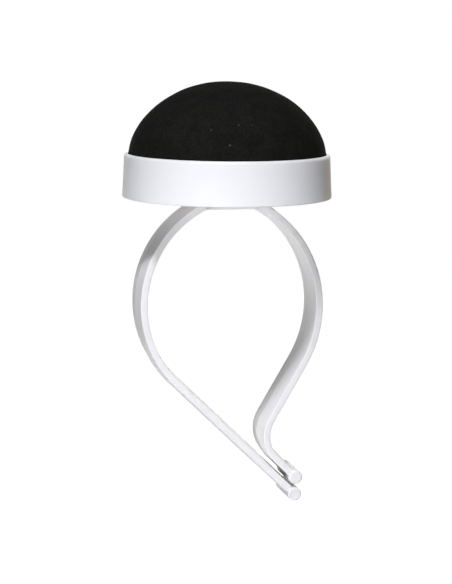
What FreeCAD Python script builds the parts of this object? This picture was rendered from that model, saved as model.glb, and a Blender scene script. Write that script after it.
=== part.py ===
"""Wrist pin cushion: a fabric dome in a moulded cup, on a springy two-armed wrist band.

The origin is the centre of the wrist opening. +Z points up to the cushion, Y runs along the
wrist and is the width of the band, and both tips of the band point towards +X and -Z.
Lengths are in millimetres and angles in degrees.
"""
import FreeCAD
import Part
import math
import os

V = FreeCAD.Vector
UP = V(0, 0, 1)
ALONG_WRIST = V(0, 1, 0)

# Cup
cup_underside = 36.5        # height of the cup's lowest edge above the wrist's centre
cup_height = 14.4
cup_foot_radius = 35.0      # the outer wall leans in a little towards the top
cup_top_radius = 34.3
cup_mouth_radius = 33.1     # inside the rim
cup_well_radius = 32.6      # inside the wall, at the floor
rim_outer_rounding = 0.95
rim_inner_rounding = 0.2
foot_rounding = 0.3
floor_recess = 0.8          # the floor's underside lies this far above the cup's lowest edge
floor_thickness = 1.6
screw_hole_radius = 1.6
locating_rib_thickness = 1.2
locating_rib_length = 22.0
locating_rib_gap = 0.2

# Cushion
dome_radius = 33.3
dome_half_height = 27.5
dome_centre_below_rim = 3.8
cover_thickness = 0.8
fabric_gap = 0.08           # between the fabric and the cup's wall
hem_thickness = 2.2         # gathered fabric under the backing disc
hem_inner_radius = 10.0
cushion_corner_radius = 2.4
thread_radius = 0.35
backing_radius = 30.6
backing_thickness = 1.5

# Band: one drafted strap, thickest along its parting line in the middle of its width
band_width = 14.8
band_edge_thickness = 2.3
band_middle_thickness = 3.42
band_drop = 1.49            # from the cup's lowest edge down to the middle of the band's top
left_straight_end = 3.34    # where the straight top of the band ends, from the cup's axis
right_straight_end = 3.85
shoulder_radius = 15.7
left_shoulder_turn = 29.6
right_shoulder_turn = 31.0
left_side_radius = 36.6
right_side_radius = 39.1
hinge_turn = 46.0           # turn from the top of the band to each flexing line
left_tip_slope = 44.3       # of the left arm's run across to the right, from horizontal
left_run_length = 58.05
right_slant = 30.3          # of the right arm's inward run, from vertical
right_run_length = 22.0
right_knee_radius = 10.75
right_tip_slope = 45.2
right_tip_length = 10.2
tip_bar_radius = 2.4
tip_bar_length = 15.6
flex_clearance = 0.3
pad_half_length = 9.3
pad_depth = 3.7             # the pad's underside, below the cup's lowest edge

# Fixing screw and washer
screw_radius = 1.45
screw_length = 5.0
screw_head_radius = 2.8
screw_head_height = 1.5
screw_slot_width = 0.8
screw_slot_length = 3.2
screw_slot_depth = 0.8
washer_radius = 4.0
washer_thickness = 0.5

# Levels worked out from the dimensions above
rim_level = cup_underside + cup_height
floor_underside = cup_underside + floor_recess
floor_top = floor_underside + floor_thickness
dome_centre = rim_level - dome_centre_below_rim
band_middle_level = cup_underside - band_drop
pad_underside = cup_underside - pad_depth
washer_top = floor_top + washer_thickness
backing_underside = floor_top + hem_thickness


def rounded_corner(before, corner, after, radius):
    """The arc, with its two ends, that rounds a corner of a profile drawn in the XZ plane."""
    back = (before - corner).normalize()
    ahead = (after - corner).normalize()
    half = back.getAngle(ahead) / 2
    reach = radius / math.tan(half)
    start = corner + back * reach
    end = corner + ahead * reach
    bisector = (back + ahead).normalize()
    middle = corner + bisector * (radius / math.sin(half) - radius)
    return start, Part.Arc(start, middle, end).toShape(), end


def turned(outline_edges):
    """A full turn about Z of a closed outline drawn in the XZ plane."""
    face = Part.Face(Part.Wire(outline_edges))
    return face.revolve(V(0, 0, 0), UP, 360)


def cylinder(radius, height, base, direction=UP):
    return Part.makeCylinder(radius, height, base, direction)


def cup_shell():
    """Outline of the cup's wall and floor, with a rounded rim and a softened foot."""
    corners = [
        (V(0, 0, floor_underside), 0),
        (V(cup_well_radius, 0, floor_underside), 0),
        (V(cup_well_radius, 0, cup_underside), foot_rounding),
        (V(cup_foot_radius, 0, cup_underside), foot_rounding),
        (V(cup_top_radius, 0, rim_level), rim_outer_rounding),
        (V(cup_mouth_radius, 0, rim_level), rim_inner_rounding),
        (V(cup_well_radius, 0, floor_top), 0),
        (V(0, 0, floor_top), 0),
    ]
    edges = []
    here = corners[0][0]
    for index in range(1, len(corners)):
        corner, radius = corners[index]
        if radius:
            following = corners[(index + 1) % len(corners)][0]
            start, arc, end = rounded_corner(corners[index - 1][0], corner, following, radius)
            edges += [Part.makeLine(here, start), arc]
            here = end
        else:
            edges.append(Part.makeLine(here, corner))
            here = corner
    edges.append(Part.makeLine(here, corners[0][0]))
    return turned(edges)


def cup():
    """White moulded cup, with a screw hole and two ribs that keep the band from turning."""
    shell = cup_shell()
    for side in (-1, 1):
        inner_face = side * (band_width / 2 + locating_rib_gap)
        lowest_y = min(inner_face, inner_face + side * locating_rib_thickness)
        corner = V(-locating_rib_length / 2, lowest_y, cup_underside)
        rib = Part.makeBox(locating_rib_length, locating_rib_thickness, floor_recess, corner)
        shell = shell.fuse(rib)
    hole = cylinder(screw_hole_radius, floor_thickness, V(0, 0, floor_underside))
    return shell.cut(hole).removeSplitter()


def dome_side(inset):
    """The dome's side, inset all round from the outside of the fabric.

    Returns the place where it meets the cup's mouth, the curve up from there, and the top.
    """
    radius = dome_radius - inset
    half_height = dome_half_height - inset
    mouth = cup_mouth_radius - fabric_gap - inset
    rise = half_height * math.sqrt(1 - (mouth / radius) ** 2)
    meeting = V(mouth, 0, dome_centre + rise)
    apex = V(0, 0, dome_centre + half_height)
    ellipse = Part.Ellipse(V(radius, 0, dome_centre), apex, V(0, 0, dome_centre))
    curve = Part.ArcOfEllipse(ellipse, math.asin(rise / half_height), math.pi / 2)
    # A turned ellipse doesn't survive being written to STEP, and the same curve as a spline does
    return meeting, curve.toBSpline().toShape(), apex


def lines_through(*points):
    return [Part.makeLine(first, second) for first, second in zip(points, points[1:])]


def cushion_cover():
    """Fabric cover, with its gathered hem turned in under the backing disc."""
    outer_meeting, outer_curve, outer_apex = dome_side(0)
    inner_meeting, inner_curve, inner_apex = dome_side(cover_thickness)
    hem_bottom = V(hem_inner_radius, 0, floor_top)
    corner = V(cup_well_radius - fabric_gap, 0, floor_top)
    start, rounding, end = rounded_corner(hem_bottom, corner, outer_meeting, cushion_corner_radius)
    inner_foot = V(corner.x - cover_thickness, 0, backing_underside)
    # The hem's inner edge is hollowed by the thread that gathers it
    thread_level = floor_top + hem_thickness / 2
    channel_top = V(hem_inner_radius, 0, thread_level + thread_radius)
    channel_back = V(hem_inner_radius + thread_radius, 0, thread_level)
    channel_bottom = V(hem_inner_radius, 0, thread_level - thread_radius)
    hem_top = V(hem_inner_radius, 0, backing_underside)
    return turned(
        [Part.makeLine(hem_bottom, start), rounding, Part.makeLine(end, outer_meeting), outer_curve]
        + lines_through(outer_apex, inner_apex)
        + [inner_curve]
        + lines_through(inner_meeting, inner_foot, hem_top, channel_top)
        + [Part.Arc(channel_top, channel_back, channel_bottom).toShape()]
        + lines_through(channel_bottom, hem_bottom)
    )


def gathering_thread():
    """Thread drawn tight round the hem's edge."""
    level = floor_top + hem_thickness / 2
    return Part.makeTorus(hem_inner_radius, thread_radius, V(0, 0, level), UP)


def backing_disc():
    """Stiff disc that stops the pins short of the wrist."""
    return cylinder(backing_radius, backing_thickness, V(0, 0, backing_underside))


def cushion_filling():
    """Fibre filling, which fills the cover above and round the backing disc."""
    meeting, curve, apex = dome_side(cover_thickness)
    backing_top = backing_underside + backing_thickness
    foot = V(cup_well_radius - fabric_gap - cover_thickness, 0, backing_underside)
    disc_edge = V(backing_radius, 0, backing_underside)
    disc_top_edge = V(backing_radius, 0, backing_top)
    centre = V(0, 0, backing_top)
    return turned(lines_through(apex, centre, disc_top_edge, disc_edge, foot, meeting) + [curve])


def heading_vector(heading):
    turn = math.radians(heading)
    return V(math.cos(turn), 0, math.sin(turn))


def strap_section(place, heading):
    """The band's six-sided section at a place on its path."""
    across = heading_vector(heading + 90)
    edge = band_edge_thickness / 2
    middle = band_middle_thickness / 2
    half = band_width / 2
    outline = [(edge, half), (-edge, half), (-middle, 0), (-edge, -half), (edge, -half), (middle, 0)]
    points = [place + across * thick + ALONG_WRIST * wide for thick, wide in outline]
    return Part.Face(Part.makePolygon(points + points[:1]))


def strap(place, heading, runs):
    """The band along straight and bent runs, and the place and heading where it ends.

    A run is ("straight", length) or ("bend", radius, turn), where a positive turn is
    anticlockwise as seen from -Y.
    """
    pieces = []
    for run in runs:
        section = strap_section(place, heading)
        if run[0] == "straight":
            pieces.append(section.extrude(heading_vector(heading) * run[1]))
            place = place + heading_vector(heading) * run[1]
        else:
            radius, turn = run[1:]
            side = math.copysign(90, turn)
            centre = place + heading_vector(heading + side) * radius
            pieces.append(section.revolve(centre, V(0, -1, 0), turn))
            heading += turn
            place = centre - heading_vector(heading + side) * radius
    solid = pieces[0]
    if len(pieces) > 1:
        solid = solid.fuse(pieces[1:])
    return solid, place, heading


def across_band(place, radius, length):
    """A cylinder along the band's width, centred on a place on its path."""
    return cylinder(radius, length, place - ALONG_WRIST * (length / 2), ALONG_WRIST)


left_top = V(-left_straight_end, 0, band_middle_level)
right_top = V(right_straight_end, 0, band_middle_level)
left_shoulder_runs = [("bend", shoulder_radius, left_shoulder_turn),
                      ("bend", left_side_radius, hinge_turn - left_shoulder_turn)]
right_shoulder_runs = [("bend", shoulder_radius, -right_shoulder_turn),
                       ("bend", right_side_radius, right_shoulder_turn - hinge_turn)]
left_shoulder, left_hinge, left_heading = strap(left_top, 180, left_shoulder_runs)
right_shoulder, right_hinge, right_heading = strap(right_top, 0, right_shoulder_runs)


def band_bridge():
    """Middle of the band, with the thick flat pad that the screw bites into."""
    top, _, _ = strap(left_top, 0, [("straight", left_straight_end + right_straight_end)])
    pad_height = floor_underside - pad_underside
    pad_corner = V(-pad_half_length, -band_width / 2, pad_underside)
    pad = Part.makeBox(2 * pad_half_length, band_width, pad_height, pad_corner)
    bridge = pad.fuse([top, left_shoulder, right_shoulder])
    knuckle_space = band_middle_thickness / 2 + flex_clearance
    for hinge in (left_hinge, right_hinge):
        bridge = bridge.cut(across_band(hinge, knuckle_space, 2 * band_width))
    depth_in_pad = screw_length - floor_thickness - washer_thickness
    pilot = cylinder(screw_radius, depth_in_pad, V(0, 0, floor_underside - depth_in_pad))
    return bridge.cut(pilot).removeSplitter()


def arm(hinge, heading, runs):
    """One arm of the band, from its rounded knuckle to the cross bar at its tip."""
    body, tip, _ = strap(hinge, heading, runs)
    knuckle = across_band(hinge, band_middle_thickness / 2, band_width)
    bar = across_band(tip, tip_bar_radius, tip_bar_length)
    return body.fuse([knuckle, bar]).removeSplitter()


def left_arm():
    """Arm that sweeps round the wrist's left side and straight across to the right."""
    return arm(left_hinge, left_heading, [
        ("bend", left_side_radius, 180 - left_tip_slope - hinge_turn),
        ("straight", left_run_length),
    ])


def right_arm():
    """Arm that turns in under the wrist, then bends back and lies along the left arm."""
    return arm(right_hinge, right_heading, [
        ("bend", right_side_radius, hinge_turn - 90 - right_slant),
        ("straight", right_run_length),
        ("bend", right_knee_radius, 90 + right_slant - right_tip_slope),
        ("straight", right_tip_length),
    ])


def band_screw():
    """Pan-head screw, driven down from inside the cup into the band's pad."""
    shank = cylinder(screw_radius, screw_length, V(0, 0, washer_top - screw_length))
    head = cylinder(screw_head_radius, screw_head_height, V(0, 0, washer_top))
    head_top = [edge for edge in head.Edges if edge.BoundBox.ZMin > washer_top + 0.01]
    head = head.makeFillet(screw_head_height * 0.5, head_top)
    screw = shank.fuse(head)
    slot_floor = washer_top + screw_head_height - screw_slot_depth
    for length, width in ((screw_slot_length, screw_slot_width),
                          (screw_slot_width, screw_slot_length)):
        corner = V(-length / 2, -width / 2, slot_floor)
        screw = screw.cut(Part.makeBox(length, width, screw_slot_depth, corner))
    return screw.removeSplitter()


def screw_washer():
    disc = cylinder(washer_radius, washer_thickness, V(0, 0, floor_top))
    return disc.cut(cylinder(screw_hole_radius, washer_thickness, V(0, 0, floor_top)))


NODES = {
    "cup": cup,
    "cushion_cover": cushion_cover,
    "cushion_filling": cushion_filling,
    "backing_disc": backing_disc,
    "gathering_thread": gathering_thread,
    "band_bridge": band_bridge,
    "left_arm": left_arm,
    "right_arm": right_arm,
    "band_screw": band_screw,
    "screw_washer": screw_washer,
}

os.makedirs("parts", exist_ok=True)
for name, build in NODES.items():
    build().exportStep("parts/" + name + ".step")
for side, hinge in (("left", left_hinge), ("right", right_hinge)):
    print(side, "flexing line at x", round(hinge.x, 3), "z", round(hinge.z, 3))
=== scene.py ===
import math

import bmesh
import bpy
from mathutils import Matrix, Vector, noise


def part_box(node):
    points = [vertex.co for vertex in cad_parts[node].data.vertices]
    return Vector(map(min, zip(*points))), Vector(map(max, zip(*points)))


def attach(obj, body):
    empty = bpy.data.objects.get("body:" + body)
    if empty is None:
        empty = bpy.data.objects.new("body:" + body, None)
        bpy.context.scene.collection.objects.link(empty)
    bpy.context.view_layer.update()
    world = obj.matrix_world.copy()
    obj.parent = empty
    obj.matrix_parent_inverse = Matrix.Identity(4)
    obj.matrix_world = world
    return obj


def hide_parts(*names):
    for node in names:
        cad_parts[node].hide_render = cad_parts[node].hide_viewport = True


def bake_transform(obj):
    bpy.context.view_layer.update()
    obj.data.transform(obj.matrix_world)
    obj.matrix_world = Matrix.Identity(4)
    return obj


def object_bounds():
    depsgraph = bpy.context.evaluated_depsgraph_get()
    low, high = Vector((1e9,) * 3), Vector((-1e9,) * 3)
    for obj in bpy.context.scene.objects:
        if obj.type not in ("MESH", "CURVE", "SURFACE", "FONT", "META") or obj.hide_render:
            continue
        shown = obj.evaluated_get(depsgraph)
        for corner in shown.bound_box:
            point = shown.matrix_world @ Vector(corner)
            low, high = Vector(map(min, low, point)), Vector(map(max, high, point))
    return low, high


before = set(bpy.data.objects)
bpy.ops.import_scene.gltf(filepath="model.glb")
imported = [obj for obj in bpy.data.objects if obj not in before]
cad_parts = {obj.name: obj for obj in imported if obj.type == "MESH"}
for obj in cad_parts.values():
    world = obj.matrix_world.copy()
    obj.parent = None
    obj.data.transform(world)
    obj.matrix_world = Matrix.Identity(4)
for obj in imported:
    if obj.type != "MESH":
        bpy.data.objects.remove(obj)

CAD_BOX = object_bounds()
MM = 0.001
ROOT = "cushion_and_bridge"

# ---------------------------------------------------------------- levels taken from the frame
CUP_LOW, CUP_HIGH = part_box("cup")
COVER_LOW, COVER_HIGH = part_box("cushion_cover")
BRIDGE_LOW, BRIDGE_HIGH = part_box("band_bridge")
BACKING_LOW, BACKING_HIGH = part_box("backing_disc")
THREAD_LOW, THREAD_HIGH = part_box("gathering_thread")
RIM = CUP_HIGH[2]
FLOOR_TOP = COVER_LOW[2]

# ---------------------------------------------------------------- the band's own dimensions
BAND_WIDTH = 14.8 * MM
EDGE_THICKNESS = 2.3 * MM
MIDDLE_THICKNESS = 3.6 * MM
TIP_THICKNESS = 3.2 * MM           # of the band's middle, by the cross bars
THINNING_START = 0.84              # the share of an arm's path where its middle starts to thin
THINNING_LENGTH = 0.1
CORNER_ROUNDING = 0.27 * MM
RIDGE_HEIGHT = 0.03 * MM           # of the parting ridge along the band's middle
RIDGE_HALF_WIDTH = 0.12 * MM
BAND_DROP = 1.49 * MM
LEFT_STRAIGHT_END = 3.34 * MM
RIGHT_STRAIGHT_END = 3.85 * MM
SHOULDER_RADIUS = 15.7 * MM
LEFT_SHOULDER_TURN = 29.6
RIGHT_SHOULDER_TURN = 31.0
LEFT_SIDE_RADIUS = 36.6 * MM
RIGHT_SIDE_RADIUS = 39.1 * MM
LEFT_TIP_SLOPE = 44.3
RIGHT_TIP_SLOPE = 45.2
LEFT_RUN = 58.05 * MM
RIGHT_SLANT = 30.3
RIGHT_RUN = 22.0 * MM
KNEE_RADIUS = 10.75 * MM
RIGHT_TIP = 10.2 * MM
BAR_RADIUS = 2.4 * MM
BAR_LENGTH = 15.6 * MM
BAR_RIM_ROUNDING = 0.4 * MM
BAR_DISH = 0.08 * MM               # how far the bar's ends are hollowed
DISH_FLOOR_RADIUS = 1.36 * MM
DISH_EDGE_RADIUS = 1.72 * MM
BAR_DRAFT = 0.05 * MM              # how much thinner the bar is at its ends than in its middle
LEFT_MARKS = (0.355, 0.72)         # ejector marks, as shares of each arm's path
RIGHT_MARKS = (0.418, 0.836)
MARK_RADIUS = 0.48 * MM
MARK_DEPTH = 0.12 * MM
PAD_DEPTH = 3.7 * MM
PAD_HALF_LENGTH = 9.3 * MM
PAD_ROUNDING = 0.6 * MM
STATION_STEP = 0.8 * MM
SAME_POINT = 0.002 * MM            # corners closer than this are one corner


# ---------------------------------------------------------------- small helpers for materials
class Nodes:
    """A node tree, with short calls for the nodes that this scene uses."""

    def __init__(self, tree):
        self.tree = tree

    def add(self, kind, **settings):
        node = self.tree.nodes.new(kind)
        for key, value in settings.items():
            setattr(node, key, value)
        return node

    def feed(self, socket, value):
        if isinstance(value, bpy.types.NodeSocket):
            self.tree.links.new(value, socket)
        else:
            socket.default_value = value

    def math(self, operation, first, second=0.0, third=0.0):
        node = self.add("ShaderNodeMath", operation=operation)
        for socket, value in zip(node.inputs, (first, second, third)):
            self.feed(socket, value)
        return node.outputs["Value"]

    def vector_math(self, operation, first, second):
        node = self.add("ShaderNodeVectorMath", operation=operation)
        self.feed(node.inputs[0], first)
        self.feed(node.inputs[1], second)
        return node.outputs

    def between(self, value, low, high, new_low=0.0, new_high=1.0):
        node = self.add("ShaderNodeMapRange")
        for socket, number in zip(node.inputs, (value, low, high, new_low, new_high)):
            self.feed(socket, number)
        return node.outputs["Result"]

    def mix(self, amount, first, second):
        node = self.add("ShaderNodeMix", data_type="RGBA")
        self.feed(node.inputs[0], amount)
        self.feed(node.inputs[6], first)
        self.feed(node.inputs[7], second)
        return node.outputs[2]


class Shader(Nodes):
    """A material's node tree, placed in the frame's own metres."""

    def __init__(self, name):
        self.material = bpy.data.materials.new(name)
        self.material.use_nodes = True
        super().__init__(self.material.node_tree)
        self.surface = self.tree.nodes["Principled BSDF"]
        self.place = self.add("ShaderNodeTexCoord").outputs["Object"]

    def set(self, **values):
        """Links or sets the surface's sockets, named with _ for each space."""
        for key, value in values.items():
            self.feed(self.surface.inputs[key.replace("_", " ")], value)

    def stretched(self, scale, place=None):
        node = self.add("ShaderNodeMapping")
        self.feed(node.inputs["Vector"], place or self.place)
        node.inputs["Scale"].default_value = scale
        return node.outputs["Vector"]

    def noise(self, scale, detail=3.0, roughness=0.5, place=None):
        node = self.add("ShaderNodeTexNoise")
        self.feed(node.inputs["Vector"], place or self.place)
        node.inputs["Scale"].default_value = scale
        node.inputs["Detail"].default_value = detail
        node.inputs["Roughness"].default_value = roughness
        return node.outputs["Fac"]

    def bump(self, height, distance, under=None):
        node = self.add("ShaderNodeBump")
        self.feed(node.inputs["Height"], height)
        node.inputs["Distance"].default_value = distance
        if under is not None:
            self.feed(node.inputs["Normal"], under)
        return node.outputs["Normal"]


def moulded_plastic(name, colour, roughness):
    """White injection-moulded plastic, a little translucent, with flow marks, peel and scuffs."""
    s = Shader(name)
    flow = s.noise(1.0, detail=2.0, place=s.stretched((45, 45, 120)))
    patches = s.noise(60.0)
    scuffs = s.noise(1.0, detail=5.0, roughness=0.65, place=s.stretched((2400, 500, 700)))
    duller = tuple(channel * 0.985 for channel in colour)
    s.set(Base_Color=s.mix(s.between(flow, 0.35, 0.7), (*colour, 1.0), (*duller, 1.0)))
    gloss = s.between(patches, 0.3, 0.7, roughness - 0.012, roughness + 0.015)
    worn = s.between(scuffs, 0.66, 0.78, 0.0, 0.05)
    s.set(Roughness=s.math("ADD", gloss, worn))
    peel = s.bump(s.noise(700.0, detail=1.0), 0.0015 * MM)
    s.set(Normal=s.bump(flow, 0.012 * MM, under=peel))
    s.surface.inputs["IOR"].default_value = 1.5
    s.surface.inputs["Specular IOR Level"].default_value = 0.4
    s.surface.inputs["Subsurface Weight"].default_value = 0.5
    s.surface.inputs["Subsurface Radius"].default_value = (1.0, 1.0, 1.0)
    s.surface.inputs["Subsurface Scale"].default_value = 3.4 * MM
    return s.material


# ---------------------------------------------------------------- small helpers for meshes
def new_piece(name, points, faces, material, smooth_angle=40.0):
    """A new object with its faces turned outwards."""
    mesh = bpy.data.meshes.new(name)
    mesh.from_pydata(points, [], faces)
    mesh.validate()
    mesh.update()
    piece = bpy.data.objects.new(name, mesh)
    bpy.context.scene.collection.objects.link(piece)
    piece.data.materials.append(material)
    shade(piece, smooth_angle)
    fix_normals(piece)
    return piece


def shade(piece, smooth_angle):
    piece.data.shade_smooth()
    piece.data.set_sharp_from_angle(angle=math.radians(smooth_angle))


def fix_normals(piece):
    """Turns every face outwards."""
    work = bmesh.new()
    work.from_mesh(piece.data)
    bmesh.ops.recalc_face_normals(work, faces=work.faces)
    work.to_mesh(piece.data)
    work.free()


def drop_slivers(piece):
    """Joins corners that a union or a cut left side by side, and drops the slivers between them."""
    work = bmesh.new()
    work.from_mesh(piece.data)
    bmesh.ops.remove_doubles(work, verts=work.verts, dist=SAME_POINT)
    bmesh.ops.dissolve_degenerate(work, edges=work.edges, dist=SAME_POINT)
    work.to_mesh(piece.data)
    work.free()


def apply_modifiers(piece):
    """The piece's mesh as its modifiers leave it, with no modifier left on the piece."""
    depsgraph = bpy.context.evaluated_depsgraph_get()
    mesh = bpy.data.meshes.new_from_object(piece.evaluated_get(depsgraph))
    piece.modifiers.clear()
    piece.data = mesh


def combine(piece, other, operation):
    """Joins another solid to the piece, or cuts it away, and deletes the other."""
    modifier = piece.modifiers.new("combine", "BOOLEAN")
    modifier.operation = operation
    modifier.object = other
    modifier.solver = "EXACT"
    apply_modifiers(piece)
    bpy.data.objects.remove(other)


def skin(rings):
    """Points and faces of a tube, closed at both ends, through rings of equally many points."""
    count = len(rings[0])
    points = [point for ring in rings for point in ring]
    faces = []
    for ring in range(len(rings) - 1):
        for spot in range(count):
            following = (spot + 1) % count
            here = ring * count
            faces.append((here + spot, here + following,
                          here + count + following, here + count + spot))
    last = (len(rings) - 1) * count
    faces.append(tuple(range(count - 1, -1, -1)))
    faces.append(tuple(range(last, last + count)))
    return points, faces


def lathe(outline, steps, wobble=None):
    """Points and faces of a closed outline of (radius, height) pairs turned about Z.

    An outline that starts and ends on the axis is closed by a pole at each end.
    """
    rings = []
    for step in range(steps):
        angle = 2 * math.pi * step / steps
        ring = []
        for radius, height in outline:
            point = Vector((radius * math.cos(angle), radius * math.sin(angle), height))
            ring.append(wobble(point) if wobble else point)
        rings.append(ring)
    count = len(outline)
    on_axis = [outline[index][0] < 1e-9 for index in range(count)]
    points, index_of = [], {}
    for step in range(steps):
        for spot in range(count):
            if on_axis[spot] and step:
                index_of[step, spot] = index_of[0, spot]
                continue
            index_of[step, spot] = len(points)
            points.append(rings[step][spot])
    faces = []
    for step in range(steps):
        beside = (step + 1) % steps
        for spot in range(count):
            following = (spot + 1) % count
            if on_axis[spot] and on_axis[following]:
                continue
            corners = [index_of[step, spot], index_of[beside, spot],
                       index_of[beside, following], index_of[step, following]]
            faces.append(tuple(dict.fromkeys(corners)))
    return points, faces


def rounded_outline(corners, steps=4):
    """A closed outline through (x, y, rounding) corners, with its corners as arcs.

    A further point close to each end of an arc keeps the flats between the arcs flat.
    """
    outline = []
    total = len(corners)
    for index, (x, y, rounding) in enumerate(corners):
        corner = Vector((x, y))
        if not rounding:
            outline.append(corner)
            continue
        back = (Vector(corners[index - 1][:2]) - corner).normalized()
        ahead = (Vector(corners[(index + 1) % total][:2]) - corner).normalized()
        half = back.angle(ahead) / 2
        reach = rounding / math.tan(half)
        centre = corner + (back + ahead).normalized() * (rounding / math.sin(half))
        start, end = corner + back * reach, corner + ahead * reach
        hold = 0.25 * rounding
        outline.append(start + back * hold)
        for step in range(steps + 1):
            spoke = (start - centre).lerp(end - centre, step / steps)
            outline.append(centre + spoke.normalized() * rounding)
        outline.append(end + ahead * hold)
    return outline


# ---------------------------------------------------------------- the band
def heading_vector(heading):
    """A direction in the XZ plane, in degrees anticlockwise from +X as seen from -Y."""
    turn = math.radians(heading)
    return Vector((math.cos(turn), 0.0, math.sin(turn)))


def stations(place, heading, runs):
    """Places and headings at even steps along straight and bent runs.

    A run is ("straight", length) or ("bend", radius, turn), where a positive turn is
    anticlockwise as seen from -Y.
    """
    found = [(place.copy(), heading)]
    for run in runs:
        if run[0] == "straight":
            count = max(1, round(run[1] / STATION_STEP))
            start = place
            for step in range(1, count + 1):
                place = start + heading_vector(heading) * (run[1] * step / count)
                found.append((place.copy(), heading))
        else:
            radius, turn = run[1:]
            side = math.copysign(90, turn)
            centre = place + heading_vector(heading + side) * radius
            count = max(2, round(radius * math.radians(abs(turn)) / STATION_STEP))
            start = heading
            for step in range(1, count + 1):
                heading = start + turn * step / count
                place = centre - heading_vector(heading + side) * radius
                found.append((place.copy(), heading))
    return found


def strap_outline(thickness):
    """The band's six-sided section, drafted from a fine parting ridge along its middle."""
    half = BAND_WIDTH / 2
    edge = EDGE_THICKNESS / 2
    middle = thickness / 2
    half_outline = [
        (edge, half, CORNER_ROUNDING),
        (-edge, half, CORNER_ROUNDING),
        (-middle, RIDGE_HALF_WIDTH, 0),
        (-middle - RIDGE_HEIGHT, 0, 0),
        (-middle, -RIDGE_HALF_WIDTH, 0),
    ]
    other_half = [(-x, -y, rounding) for x, y, rounding in half_outline]
    return rounded_outline(half_outline + other_half)


def strap_rings(path):
    """The band's sections along a path; its middle thins a little before the tip."""
    rings = []
    for index, (place, heading) in enumerate(path):
        share = index / (len(path) - 1)
        thinning = min(1.0, max(0.0, (share - THINNING_START) / THINNING_LENGTH))
        outline = strap_outline(MIDDLE_THICKNESS + (TIP_THICKNESS - MIDDLE_THICKNESS) * thinning)
        across = heading_vector(heading + 90)
        rings.append([place + across * thick + Vector((0, wide, 0)) for thick, wide in outline])
    return rings


def bar_piece(name, place, material):
    """The cross bar at an arm's tip: slightly barrelled, with rounded rims and dished ends."""
    half = BAR_LENGTH / 2
    rim = BAR_RIM_ROUNDING
    outline = [(0.0, -half + BAR_DISH), (DISH_FLOOR_RADIUS, -half + BAR_DISH),
               (DISH_EDGE_RADIUS, -half)]
    rim_steps = 5
    for step in range(rim_steps + 1):
        angle = math.radians(90 * step / rim_steps)
        outline.append((BAR_RADIUS - BAR_DRAFT - rim + rim * math.sin(angle),
                        -half + rim - rim * math.cos(angle)))
    outline.append((BAR_RADIUS, 0.0))
    outline += [(radius, -height) for radius, height in reversed(outline[:-1])]
    points, faces = lathe(outline[::-1], steps=40)
    upright = Matrix.Rotation(math.radians(90), 4, "X")
    points = [place + upright @ point for point in points]
    return new_piece(name, points, faces, material)


def mark_cutter(name, place):
    """A short cylinder along Y that sinks a round ejector mark into the band's front edge."""
    front = -BAND_WIDTH / 2
    sides = 28
    rings = []
    for y in (front - 1 * MM, front + MARK_DEPTH):
        ring = []
        for side in range(sides):
            angle = 2 * math.pi * side / sides
            ring.append(place + Vector((MARK_RADIUS * math.cos(angle), y,
                                        MARK_RADIUS * math.sin(angle))))
        rings.append(ring)
    points, faces = skin(rings)
    return new_piece(name, points, faces, None)


def arm_piece(name, top, heading, runs, mark_shares, material):
    """One half of the band, from under the cup to the bar at its tip, as one solid."""
    path = stations(top, heading, runs)
    points, faces = skin(strap_rings(path))
    piece = new_piece(name, points, faces, material)
    combine(piece, bar_piece(name + "_bar", path[-1][0], material), "UNION")
    for index, share in enumerate(mark_shares):
        place = path[round(share * (len(path) - 1))][0]
        combine(piece, mark_cutter(f"{name}_mark_{index}", place), "DIFFERENCE")
    drop_slivers(piece)
    shade(piece, smooth_angle=28.0)
    return piece


def band():
    """Both arms and the pad, in one plastic."""
    plastic = moulded_plastic("band_plastic", (0.90, 0.882, 0.862), 0.37)
    level = CUP_LOW[2] - BAND_DROP
    left = arm_piece(
        "band_left", Vector((-LEFT_STRAIGHT_END, 0, level)), 180.0,
        [("bend", SHOULDER_RADIUS, LEFT_SHOULDER_TURN),
         ("bend", LEFT_SIDE_RADIUS, 180 - LEFT_TIP_SLOPE - LEFT_SHOULDER_TURN),
         ("straight", LEFT_RUN)],
        LEFT_MARKS, plastic)
    right = arm_piece(
        "band_right", Vector((RIGHT_STRAIGHT_END, 0, level)), 0.0,
        [("bend", SHOULDER_RADIUS, -RIGHT_SHOULDER_TURN),
         ("bend", RIGHT_SIDE_RADIUS, RIGHT_SHOULDER_TURN - 90 - RIGHT_SLANT),
         ("straight", RIGHT_RUN),
         ("bend", KNEE_RADIUS, 90 + RIGHT_SLANT - RIGHT_TIP_SLOPE),
         ("straight", RIGHT_TIP)],
        RIGHT_MARKS, plastic)
    for piece, body, side in ((left, "left_arm", -1), (right, "right_arm", 1)):
        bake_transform(piece)
        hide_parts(body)
    pad = band_pad(plastic)
    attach(pad, ROOT)
    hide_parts("band_bridge")


def band_pad(material):
    """The thick flat pad under the cup, with softened edges, that joins the two arms."""
    low_z = CUP_LOW[2] - PAD_DEPTH
    half_width = BAND_WIDTH / 2
    rings = []
    foot_steps = 5
    for step in range(foot_steps + 1):
        angle = math.radians(90 * step / foot_steps)
        inset = PAD_ROUNDING * (1 - math.sin(angle))
        rings.append(pad_ring(PAD_HALF_LENGTH - inset, half_width - inset,
                              low_z + PAD_ROUNDING * (1 - math.cos(angle))))
    rings.append(pad_ring(PAD_HALF_LENGTH, half_width, BRIDGE_HIGH[2]))
    points, faces = skin(rings)
    return new_piece("band_pad", points, faces, material)


def pad_ring(half_length, half_width, level):
    corners = [(half_length, half_width, PAD_ROUNDING), (-half_length, half_width, PAD_ROUNDING),
               (-half_length, -half_width, PAD_ROUNDING), (half_length, -half_width, PAD_ROUNDING)]
    return [Vector((x, y, level)) for x, y in rounded_outline(corners)]


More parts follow.
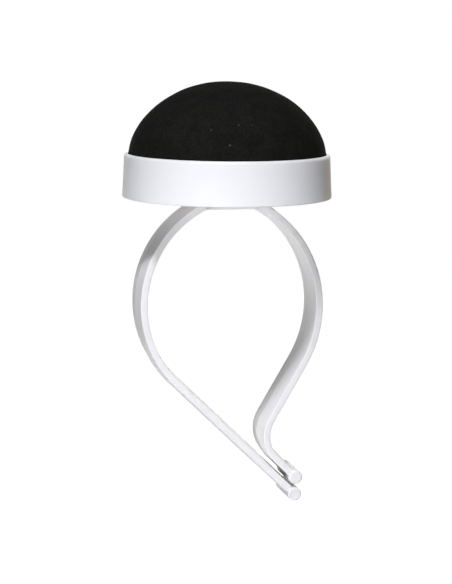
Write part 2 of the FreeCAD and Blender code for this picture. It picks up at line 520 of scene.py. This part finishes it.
# ---------------------------------------------------------------- the cushion
DOME_RADIUS = 33.3 * MM
DOME_HALF_HEIGHT = 27.5 * MM
DOME_CENTRE = COVER_HIGH[2] - DOME_HALF_HEIGHT
MOUTH_RADIUS = 33.02 * MM
WELL_RADIUS = COVER_HIGH[0] - 0.5 * MM
HEM_RADIUS = 10.0 * MM
HEM_FOLD = 0.5 * MM                # half the thickness of the hem's folded edge
FLOOR_RADII = [radius * MM for radius in (13, 16, 19, 22, 25, 27.5)]
FOOT_ROUNDING = 2.4 * MM
INNER_FOOT_ROUNDING = 0.05 * MM
COVER_THICKNESS = 0.8 * MM
PUCKERS = 34                       # folds round the gathered hem
PUCKER_DEPTH = 0.55 * MM
PUCKERS_END = 31.0 * MM            # they fade out from the hem to this radius
GATHERED_HEIGHT = 2.3 * MM         # of the cover's gathered part, above its underside
FREE_HEIGHT = 5.0 * MM             # above the rim, the dome comes free of the cup over this
STUFFED_OUT = 0.18 * MM            # how far the stuffing pushes the dome out
BROAD_LUMP = 0.13 * MM
SMALL_LUMP = 0.05 * MM
FIBRE_GAP = 0.1 * MM               # between the cover and its filling
DISC_GAP = 0.02 * MM               # between the backing disc's underside and the filling's
PLY_RADIUS = 0.15 * MM             # of each of the thread's two plies
PLY_OFFSET = 0.14 * MM             # of a ply's middle from the thread's
THREAD_TWISTS = 56
FABRIC_TURN = math.radians(14.0)   # the ribs of the knit run this far round from the Y axis
RIB_PITCH = 0.95 * MM
RIB_REACH = 32.5 * MM              # the ribs keep their pitch this far out from the dome's middle
# Specks of lint: degrees round from the front, height above the rim, size
LINT = ((-12.9, 4.95 * MM, 0.46 * MM), (-7.0, 11.1 * MM, 0.35 * MM), (-24.5, 9.6 * MM, 0.27 * MM),
        (1.8, 11.1 * MM, 0.27 * MM), (2.0, 17.0 * MM, 0.2 * MM), (-58.0, 12.5 * MM, 0.2 * MM),
        (22.0, 13.0 * MM, 0.2 * MM), (96.0, 8.0 * MM, 0.35 * MM), (171.0, 12.0 * MM, 0.35 * MM))


def dome_outline(inset, corner_radius, foot_level, steps):
    """Outline of the cushion's side and top from its foot up to the axis."""
    radius, half_height = DOME_RADIUS - inset, DOME_HALF_HEIGHT - inset
    mouth, well = MOUTH_RADIUS - inset, WELL_RADIUS - inset
    rise = half_height * math.sqrt(1 - (mouth / radius) ** 2)
    outline = []
    corner_steps = 6
    for step in range(corner_steps + 1):
        angle = math.radians(90 * step / corner_steps)
        outline.append((well - corner_radius + corner_radius * math.sin(angle),
                        foot_level + corner_radius - corner_radius * math.cos(angle)))
    side_steps = 8
    side_foot = foot_level + corner_radius
    side_height = DOME_CENTRE + rise - side_foot
    for step in range(1, side_steps):
        share = step / side_steps
        outline.append((well + (mouth - well) * share, side_foot + side_height * share))
    first = math.asin(rise / half_height)
    for step in range(steps + 1):
        angle = first + (math.pi / 2 - first) * step / steps
        outline.append((radius * math.cos(angle) if step < steps else 0.0,
                        DOME_CENTRE + half_height * math.sin(angle)))
    return outline


def hand_stuffed(point):
    """Moves a point of the cushion as uneven stuffing does: a fuller dome with soft lumps."""
    free = min(1.0, max(0.0, (point.z - RIM) / FREE_HEIGHT))
    free = free * free * (3 - 2 * free)
    outward = Vector((point.x, point.y, point.z - DOME_CENTRE)).normalized()
    lumps = noise.noise(point * 75) * BROAD_LUMP + noise.noise(point * 190) * SMALL_LUMP
    return point + outward * (STUFFED_OUT + lumps) * free


def gathered(point):
    """Moves a point of the cover: puckers under the backing disc, and stuffing in the dome."""
    if point.z >= FLOOR_TOP + GATHERED_HEIGHT:
        return hand_stuffed(point)
    angle = math.atan2(point.y, point.x)
    radius = math.hypot(point.x, point.y)
    loose = min(1.0, max(0.0, (PUCKERS_END - radius) / (PUCKERS_END - HEM_RADIUS)))
    fold = 0.5 + 0.5 * math.sin(PUCKERS * angle + 2.5 * math.sin(3 * angle))
    lift = PUCKER_DEPTH * loose * fold
    underneath = point.z < FLOOR_TOP + 1.0 * MM
    return point + Vector((0, 0, lift if underneath else -0.35 * lift))


def lint_spots():
    """Middles and sizes of the few specks of lint on the dome."""
    spots = []
    for azimuth, above_rim, size in LINT:
        height = RIM + above_rim - DOME_CENTRE
        radius = DOME_RADIUS * math.sqrt(1 - (height / DOME_HALF_HEIGHT) ** 2) + STUFFED_OUT
        turn = math.radians(azimuth)
        place = Vector((radius * math.sin(turn), -radius * math.cos(turn), DOME_CENTRE + height))
        spots.append((place, size))
    return spots


def knit_ribs(s, turned):
    """Fine ribs that run over the dome, stronger in some places than in others."""
    axes = s.add("ShaderNodeSeparateXYZ")
    s.feed(axes.inputs["Vector"], turned)
    # Distance over the dome from its middle, so the ribs keep their pitch on the steep sides
    bounded = s.math("MINIMUM", s.math("MAXIMUM", axes.outputs["X"], -RIB_REACH), RIB_REACH)
    sideways = s.math("MULTIPLY", s.math("ARCSINE", s.math("DIVIDE", bounded, DOME_RADIUS)),
                      DOME_RADIUS)
    wander = s.math("MULTIPLY", s.math("SUBTRACT", s.noise(90.0, detail=1.0), 0.5), 1.2 * MM)
    across = s.math("ADD", sideways, wander)
    wave = s.math("SINE", s.math("MULTIPLY", across, 2 * math.pi / RIB_PITCH))
    strength = s.between(s.noise(260.0, detail=2.0), 0.4, 0.62, 0.1, 1.0)
    return s.math("MULTIPLY", s.math("MULTIPLY_ADD", wave, 0.5, 0.5), strength)


def with_lint(s, colour, tufts):
    """The colour with a ragged pale speck at each spot of lint."""
    for place, size in lint_spots():
        away = s.vector_math("DISTANCE", s.place, place)["Value"]
        ragged = s.math("MULTIPLY_ADD", s.math("SUBTRACT", tufts, 0.5), 0.5 * MM, away)
        colour = s.mix(s.between(ragged, size, 0.3 * size), colour, (0.06, 0.06, 0.055, 1.0))
    return colour


def velvet():
    """Black stretch velvet: a short dull pile over fine ribs, with a few specks of lint."""
    s = Shader("black_velvet")
    turn = s.add("ShaderNodeVectorRotate", rotation_type="Z_AXIS")
    s.feed(turn.inputs["Vector"], s.place)
    turn.inputs["Angle"].default_value = FABRIC_TURN
    turned = turn.outputs["Vector"]
    ribs = knit_ribs(s, turned)
    tufts = s.noise(1.0, roughness=0.8, place=s.stretched((2500, 2500, 1700), turned))
    fibres = s.noise(5200.0, detail=2.0, roughness=0.7)
    brushed = s.noise(130.0, roughness=0.6)
    grain = s.math("MULTIPLY", s.math("SUBTRACT", tufts, 0.5), 3.6)
    tone = s.math("ADD", s.math("MULTIPLY", ribs, 0.26), s.math("ADD", grain, 0.25))
    tone = s.math("ADD", tone, s.math("MULTIPLY", s.math("SUBTRACT", brushed, 0.5), 0.8))
    colour = s.mix(s.between(tone, -0.5, 1.3), (0.0012, 0.0013, 0.0009, 1.0),
                   (0.0163, 0.0172, 0.0143, 1.0))
    s.set(Base_Color=with_lint(s, colour, tufts))
    s.set(Roughness=s.between(fibres, 0.3, 0.7, 0.8, 0.97))
    height = s.math("ADD", s.math("MULTIPLY", ribs, 0.45), tufts)
    height = s.math("ADD", height, s.math("MULTIPLY", fibres, 0.25))
    s.set(Normal=s.bump(height, 0.10 * MM))
    s.surface.inputs["Specular IOR Level"].default_value = 0.05
    s.surface.inputs["Sheen Weight"].default_value = 0.022
    s.surface.inputs["Sheen Roughness"].default_value = 0.3
    s.surface.inputs["Sheen Tint"].default_value = (0.5, 0.5, 0.45, 1.0)
    return s.material


def fibre():
    """Packed off-white polyester fibre: tangled strands, with painted shade between them."""
    s = Shader("fibre_filling")
    strands = s.noise(1.0, detail=8.0, roughness=0.75, place=s.stretched((900, 2400, 1500)))
    clumps = s.noise(160.0, detail=4.0)
    # The darker tone between the strands is painted shade, where the packed fibre would shade
    # itself.
    colour = s.mix(s.between(strands, 0.3, 0.7), (0.55, 0.53, 0.48, 1.0), (0.86, 0.85, 0.81, 1.0))
    s.set(Base_Color=colour, Roughness=0.95)
    lumps = s.bump(clumps, 0.6 * MM)
    s.set(Normal=s.bump(strands, 0.25 * MM, under=lumps))
    s.surface.inputs["Sheen Weight"].default_value = 0.3
    return s.material


def board():
    """Grey-brown pressed board, with flecks and a fibrous grain."""
    s = Shader("backing_board")
    grain = s.noise(1.0, detail=6.0, roughness=0.7, place=s.stretched((700, 2100, 2100)))
    flecks = s.noise(1400.0, roughness=0.8)
    base = s.mix(s.between(grain, 0.3, 0.7), (0.36, 0.29, 0.20, 1.0), (0.52, 0.44, 0.32, 1.0))
    colour = s.mix(s.between(flecks, 0.60, 0.68), base, (0.20, 0.15, 0.10, 1.0))
    s.set(Base_Color=colour, Roughness=s.between(grain, 0.3, 0.7, 0.8, 0.95))
    s.set(Normal=s.bump(grain, 0.05 * MM))
    return s.material


def thread_material():
    """Black polyester sewing thread with a fine twist and a slight gloss."""
    s = Shader("sewing_thread")
    fuzz = s.noise(5200.0, detail=4.0, roughness=0.7)
    colour = s.mix(s.between(fuzz, 0.35, 0.65), (0.006, 0.006, 0.007, 1.0), (0.03, 0.03, 0.032, 1.0))
    s.set(Base_Color=colour, Roughness=s.between(fuzz, 0.3, 0.7, 0.45, 0.7))
    s.set(Normal=s.bump(fuzz, 0.03 * MM))
    s.surface.inputs["Sheen Weight"].default_value = 0.3
    return s.material


def zinc_steel():
    """Zinc-plated steel: a brushed turning grain with duller and bluish patches."""
    s = Shader("screw_steel")
    grain = s.noise(1.0, detail=5.0, roughness=0.65, place=s.stretched((900, 900, 5200)))
    patches = s.noise(420.0)
    colour = s.mix(s.between(patches, 0.35, 0.65), (0.56, 0.56, 0.58, 1.0), (0.72, 0.72, 0.70, 1.0))
    s.set(Base_Color=colour, Metallic=1.0)
    s.set(Roughness=s.between(grain, 0.3, 0.7, 0.25, 0.45))
    s.set(Normal=s.bump(grain, 0.015 * MM))
    return s.material


def cover():
    """The velvet cover, a closed skin from its gathered hem under the disc up over the dome."""
    outer = [(radius, FLOOR_TOP) for radius in [HEM_RADIUS] + FLOOR_RADII]
    outer += dome_outline(0.0, FOOT_ROUNDING, FLOOR_TOP, steps=70)
    hem_top = BACKING_LOW[2]
    hem_middle = (FLOOR_TOP + hem_top) / 2
    hem = [(HEM_RADIUS, hem_top), (HEM_RADIUS, hem_middle + HEM_FOLD),
           (HEM_RADIUS + HEM_FOLD, hem_middle), (HEM_RADIUS, hem_middle - HEM_FOLD)]
    inner_side = dome_outline(COVER_THICKNESS, INNER_FOOT_ROUNDING, hem_top, steps=40)
    inner_floor = [(radius, hem_top) for radius in reversed(FLOOR_RADII)]
    outline = outer + inner_side[::-1] + inner_floor + hem
    points, faces = lathe(outline, steps=200, wobble=gathered)
    piece = new_piece("velvet_cover", points, faces, velvet(), smooth_angle=60.0)
    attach(piece, ROOT)
    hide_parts("cushion_cover")


def filling():
    """The fibre filling, which fills the cover above and round the backing disc."""
    disc_top, disc_edge = BACKING_HIGH[2], BACKING_HIGH[0]
    foot = BACKING_LOW[2] + DISC_GAP
    outline = [(0.0, disc_top), (disc_edge * 0.5, disc_top), (disc_edge, disc_top),
               (disc_edge, foot)]
    outline += dome_outline(COVER_THICKNESS + FIBRE_GAP, INNER_FOOT_ROUNDING, foot, steps=40)
    points, faces = lathe(outline, steps=120, wobble=hand_stuffed)
    piece = new_piece("fibre_core", points, faces, fibre(), smooth_angle=60.0)
    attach(piece, ROOT)
    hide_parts("cushion_filling")


def ply(phase_shift, first_index):
    """Points and faces of one ply of the thread, which winds round the thread's middle."""
    level = (THREAD_LOW[2] + THREAD_HIGH[2]) / 2
    loop_radius = (THREAD_HIGH[0] + THREAD_LOW[0]) / 2 + HEM_RADIUS
    steps, sides = 480, 8
    points, faces = [], []
    for step in range(steps):
        angle = 2 * math.pi * step / steps
        out = Vector((math.cos(angle), math.sin(angle), 0))
        phase = THREAD_TWISTS * angle + phase_shift
        centre = out * (loop_radius + PLY_OFFSET * math.cos(phase))
        centre.z = level + PLY_OFFSET * math.sin(phase)
        here = first_index + step * sides
        beside = first_index + (step + 1) % steps * sides
        for side in range(sides):
            spoke = 2 * math.pi * side / sides
            points.append(centre + out * (PLY_RADIUS * math.cos(spoke))
                          + Vector((0, 0, PLY_RADIUS * math.sin(spoke))))
            following = (side + 1) % sides
            faces.append((here + side, beside + side, beside + following, here + following))
    return points, faces


def gathering_thread():
    """Two-ply thread drawn round the hem's edge."""
    points, faces = ply(0.0, 0)
    more_points, more_faces = ply(math.pi, len(points))
    piece = new_piece("drawn_thread", points + more_points, faces + more_faces, thread_material())
    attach(piece, ROOT)
    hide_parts("gathering_thread")


# ---------------------------------------------------------------- pieces kept from the frame
def dress(node, material):
    """Gives a piece of the frame a finished material."""
    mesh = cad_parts[node].data
    mesh.materials.clear()
    mesh.materials.append(material)


def dress_frame():
    dress("cup", moulded_plastic("cup_plastic", (0.91, 0.90, 0.89), 0.34))
    steel = zinc_steel()
    dress("band_screw", steel)
    dress("screw_washer", steel)
    dress("backing_disc", board())


# ---------------------------------------------------------------- floor, light and camera
CAMERA_AZIMUTH = math.radians(14.34)   # to the left of straight on
CAMERA_PITCH = math.radians(9.014)
CAMERA_ROLL = math.radians(0.514)
CAMERA_DISTANCE = 0.5759               # from the Z axis, measured level
CAMERA_HEIGHT = 0.05894                # above the cup's foot
CAMERA_LENS = 106.465
LIGHT_TARGET = Vector((0, 0, 0.03))
FLOOR_DROP = 0.9                       # so far down that the camera sees no shadow on the floor
FLOOR_HALF_SIZE = 6.0
WHITE = (1.0, 1.0, 1.0, 1.0)


def towards(azimuth, elevation):
    """A direction from the object, in degrees round to the right from the camera, and up."""
    turn = math.radians(azimuth) - CAMERA_AZIMUTH
    rise = math.radians(elevation)
    return Vector((math.sin(turn) * math.cos(rise), -math.cos(turn) * math.cos(rise),
                   math.sin(rise)))


def softbox(name, azimuth, elevation, distance, size, power, colour):
    """A square soft light that faces the object."""
    lamp = bpy.data.lights.new(name, "AREA")
    lamp.size = size
    lamp.energy = power
    lamp.color = colour
    direction = towards(azimuth, elevation)
    holder = bpy.data.objects.new(name, lamp)
    bpy.context.scene.collection.objects.link(holder)
    holder.location = LIGHT_TARGET + direction * distance
    holder.rotation_euler = direction.to_track_quat("Z", "Y").to_euler()
    holder.visible_camera = False


# Soft glows of the room round the object, and one dimmer patch straight behind it: azimuth and
# elevation in degrees, colour, tightness
GLOWS = (
    (180, 0, (1.10, 1.16, 1.14), 8),
    (150, 6, (0.64, 0.55, 0.46), 8),
    (-155, -28, (0.62, 0.56, 0.52), 8),
    (-100, -46, (0.70, 0.68, 0.72), 8),
    (180, -6, (-0.6, -0.58, -0.55), 30),
)


def surroundings():
    """A white room: pale light comes round the object from behind, below and the left."""
    world = bpy.data.worlds.new("studio")
    bpy.context.scene.world = world
    world.use_nodes = True
    s = Nodes(world.node_tree)
    direction = s.add("ShaderNodeTexCoord").outputs["Generated"]
    total = (0.0, 0.0, 0.0)
    for azimuth, elevation, colour, tightness in GLOWS:
        facing = s.vector_math("DOT_PRODUCT", direction, towards(azimuth, elevation))["Value"]
        spread = s.math("POWER", s.math("MAXIMUM", facing, 0.0), tightness)
        glow = s.add("ShaderNodeVectorMath", operation="SCALE")
        glow.inputs[0].default_value = colour
        s.feed(glow.inputs["Scale"], spread)
        total = s.vector_math("ADD", total, glow.outputs["Vector"])["Vector"]
    from_camera = s.add("ShaderNodeLightPath").outputs["Is Camera Ray"]
    s.feed(s.tree.nodes["Background"].inputs["Color"], s.mix(from_camera, total, WHITE))


def white_floor():
    level, reach = CAD_BOX[0][2] - FLOOR_DROP, FLOOR_HALF_SIZE
    corners = [(-reach, -reach, level), (reach, -reach, level), (reach, reach, level),
               (-reach, reach, level)]
    s = Shader("pale_floor")
    s.set(Base_Color=s.mix(s.noise(3.0), (0.90, 0.90, 0.90, 1.0), (0.93, 0.93, 0.93, 1.0)))
    s.set(Roughness=0.8, Emission_Color=WHITE, Emission_Strength=1.0)
    floor = new_piece("floor", corners, [(0, 1, 2, 3)], s.material)
    floor.visible_diffuse = False
    floor.visible_glossy = False


def studio():
    white_floor()
    surroundings()
    softbox("key", azimuth=-6, elevation=60, distance=1.2, size=0.17, power=14.3,
            colour=(0.97, 0.985, 1.06))
    softbox("low_fill", azimuth=-15, elevation=-20, distance=1.0, size=0.21, power=5.05,
            colour=(0.96, 0.985, 1.04))
    softbox("under", azimuth=0, elevation=-60, distance=0.95, size=0.2, power=2.7,
            colour=(0.99, 1.0, 1.04))


def camera():
    """Camera a little to the left of straight on, looking slightly down, with a long lens."""
    sine, cosine = math.sin(CAMERA_AZIMUTH), math.cos(CAMERA_AZIMUTH)
    place = Vector((-CAMERA_DISTANCE * sine, -CAMERA_DISTANCE * cosine,
                    CUP_LOW[2] + CAMERA_HEIGHT))
    ahead = Vector((sine * math.cos(CAMERA_PITCH), cosine * math.cos(CAMERA_PITCH),
                    -math.sin(CAMERA_PITCH)))
    level_right = Vector((cosine, -sine, 0))
    level_up = level_right.cross(ahead)
    right = level_right * math.cos(CAMERA_ROLL) + level_up * math.sin(CAMERA_ROLL)
    up = level_up * math.cos(CAMERA_ROLL) - level_right * math.sin(CAMERA_ROLL)
    data = bpy.data.cameras.new("camera")
    data.lens = CAMERA_LENS
    data.sensor_width = 36.0
    view = bpy.data.objects.new("camera", data)
    bpy.context.scene.collection.objects.link(view)
    turn = Matrix((right, up, -ahead)).transposed().to_4x4()
    view.matrix_world = Matrix.Translation(place) @ turn
    bpy.context.scene.camera = view
    bpy.context.scene.view_settings.view_transform = "Standard"


dress_frame()
band()
cover()
filling()
gathering_thread()
studio()
camera()
